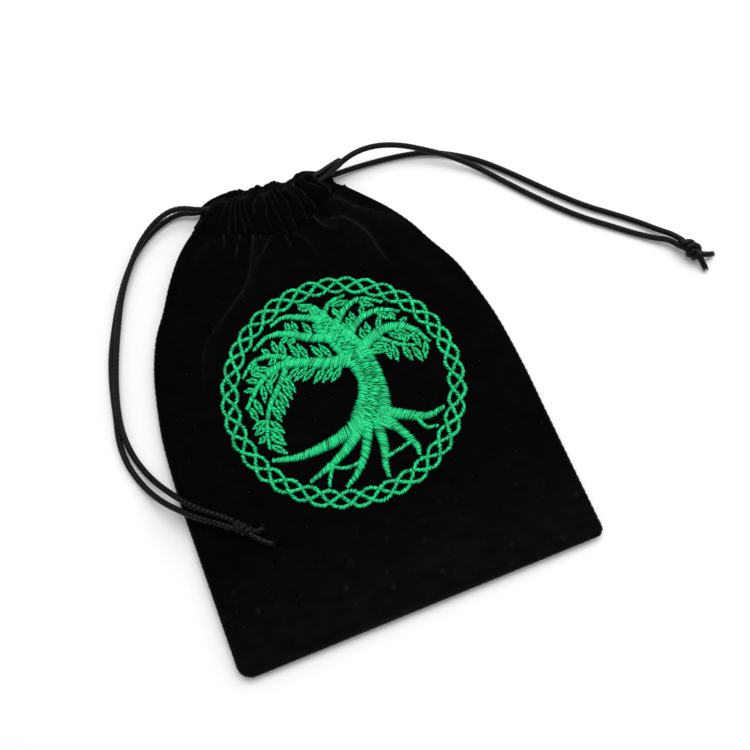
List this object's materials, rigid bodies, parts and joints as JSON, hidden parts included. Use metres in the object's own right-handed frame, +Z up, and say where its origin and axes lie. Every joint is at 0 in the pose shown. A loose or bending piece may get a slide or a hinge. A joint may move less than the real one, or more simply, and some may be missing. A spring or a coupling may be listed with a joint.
{
  "type": "drawstring pouch",
  "caption": "Flat velvet drawstring dice pouch with a gathered neck, embroidered tree in a plaited ring, and knotted satin drawcords.",
  "frame": {"origin": "on the table under the middle of the bag's box, cords left out", "axes": "+X to the right seen from the front, +Y along the bag to its mouth, +Z up out of the front panel"},
  "size_m": [0.2274, 0.1725, 0.0148],
  "materials": {
    "velvet": "black cotton velvet with a short pile",
    "green_thread": "satin-stitched green embroidery thread with a sheen",
    "black_thread": "black sewing thread",
    "seam_thread": "dark sewing thread in the seam",
    "stabiliser": "thin black non-woven backing",
    "black_cord": "braided black satin cord"
  },
  "bodies": {
    "bag": {"front_panel": "velvet", "back_panel": "velvet", "front_casing": "velvet", "back_casing": "velvet", "left_seam_thread": "seam_thread", "right_seam_thread": "seam_thread", "bottom_seam_thread": "seam_thread", "front_casing_stitches": "black_thread", "back_casing_stitches": "black_thread", "embroidery_ring": "green_thread", "embroidery_trunk": "green_thread", "embroidery_branches": "green_thread", "embroidery_leaves": "green_thread", "embroidery_roots": "green_thread", "embroidery_backing": "stabiliser", "left_cord_turn": "black_cord", "right_cord_turn": "black_cord"},
    "left_drawcord": {"left_cord_back_strand": "black_cord", "left_cord_front_strand": "black_cord", "left_knot": "black_cord", "left_cord_tails": "black_cord"},
    "right_drawcord": {"right_cord_back_strand": "black_cord", "right_cord_front_strand": "black_cord", "right_knot": "black_cord", "right_cord_tails": "black_cord"}
  },
  "joints": [
    {"name": "left_cord_pull", "type": "slide", "parent": "bag", "child": "left_drawcord", "axis": [-1, 0, 0], "range_m": [0, 0.018]},
    {"name": "right_cord_pull", "type": "slide", "parent": "bag", "child": "right_drawcord", "axis": [1, 0, 0], "range_m": [0, 0.018]}
  ]
}
